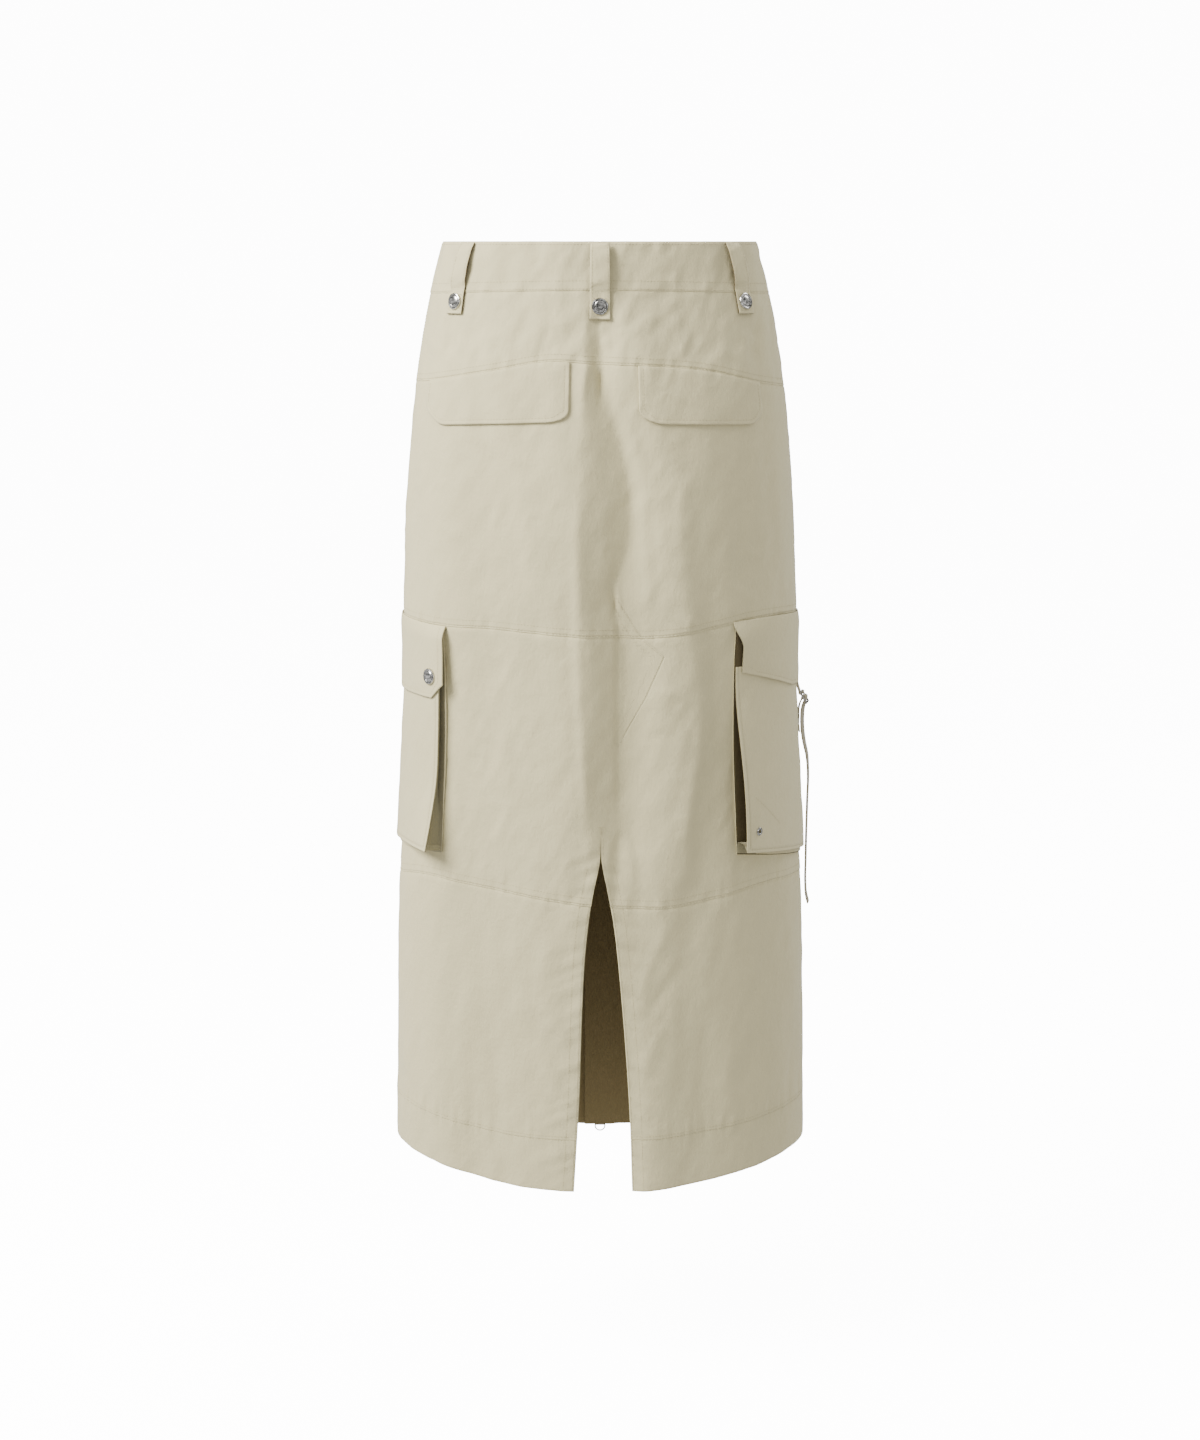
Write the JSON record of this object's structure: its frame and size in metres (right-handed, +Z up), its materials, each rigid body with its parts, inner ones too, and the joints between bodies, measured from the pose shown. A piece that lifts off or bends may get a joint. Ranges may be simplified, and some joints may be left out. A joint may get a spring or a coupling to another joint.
{
  "type": "cargo skirt",
  "caption": "Long hollow utility skirt with a yoke, welt flaps, side cargo pockets, a strap and slider, a back vent and a full front zip.",
  "frame": {"origin": "centre of the waist opening at the waistband's mid-height, where the skirt is held", "axes": "+Z up along the body, +Y the way the wearer faces, so the back with the vent faces -Y; -X is the wearer's left"},
  "size_m": [0.4, 0.231, 0.8929],
  "materials": {
    "cotton_twill": "matt woven cotton and nylon",
    "flap_twill": "matt woven cotton and nylon, two layers",
    "webbing": "flat woven strap",
    "zip_tape": "woven tape",
    "nickel": "polished nickel plate"
  },
  "bodies": {
    "skirt": {"waistband_left": "cotton_twill", "waistband_right": "cotton_twill", "back_yoke": "cotton_twill", "back_upper": "cotton_twill", "back_middle": "cotton_twill", "back_lower_left": "cotton_twill", "back_lower_right": "cotton_twill", "front_yoke_left": "cotton_twill", "front_upper_left": "cotton_twill", "front_middle_left": "cotton_twill", "front_lower_left": "cotton_twill", "front_yoke_right": "cotton_twill", "front_upper_right": "cotton_twill", "front_middle_right": "cotton_twill", "front_lower_right": "cotton_twill", "zip_tape_left": "zip_tape", "zip_tape_right": "zip_tape", "zip_chain": "nickel", "zip_guard": "cotton_twill", "zip_slider_top": "nickel", "zip_slider_bottom": "nickel", "loop_back": "flap_twill", "loop_left_back": "flap_twill", "loop_right_back": "flap_twill", "loop_left_front": "flap_twill", "loop_right_front": "flap_twill", "snap_back": "nickel", "snap_left_back": "nickel", "snap_right_back": "nickel", "snap_left_front": "nickel", "snap_right_front": "nickel", "back_flap_left": "flap_twill", "back_flap_right": "flap_twill", "pocket_face_left": "cotton_twill", "pocket_gusset_left": "cotton_twill", "pocket_flap_left": "flap_twill", "pocket_face_right": "cotton_twill", "pocket_gusset_right": "cotton_twill", "pocket_flap_right": "flap_twill", "snap_pocket_back": "nickel", "snap_pocket_front": "nickel", "pocket_eyelet": "nickel", "strap": "webbing", "strap_tab": "webbing", "strap_buckle": "nickel"},
    "ring_top": {"ring_pull_top": "nickel"},
    "ring_bottom": {"ring_pull_bottom": "nickel"}
  },
  "joints": [
    {"name": "ring_top_hinge", "type": "hinge", "parent": "skirt", "child": "ring_top", "pos_m": [0, 0.09683, 0.0176], "axis": [1, 0, 0], "range_deg": [0, 150]},
    {"name": "ring_bottom_hinge", "type": "hinge", "parent": "skirt", "child": "ring_bottom", "pos_m": [0, 0.09149, -0.85984], "axis": [1, 0, 0], "range_deg": [0, 150]}
  ]
}
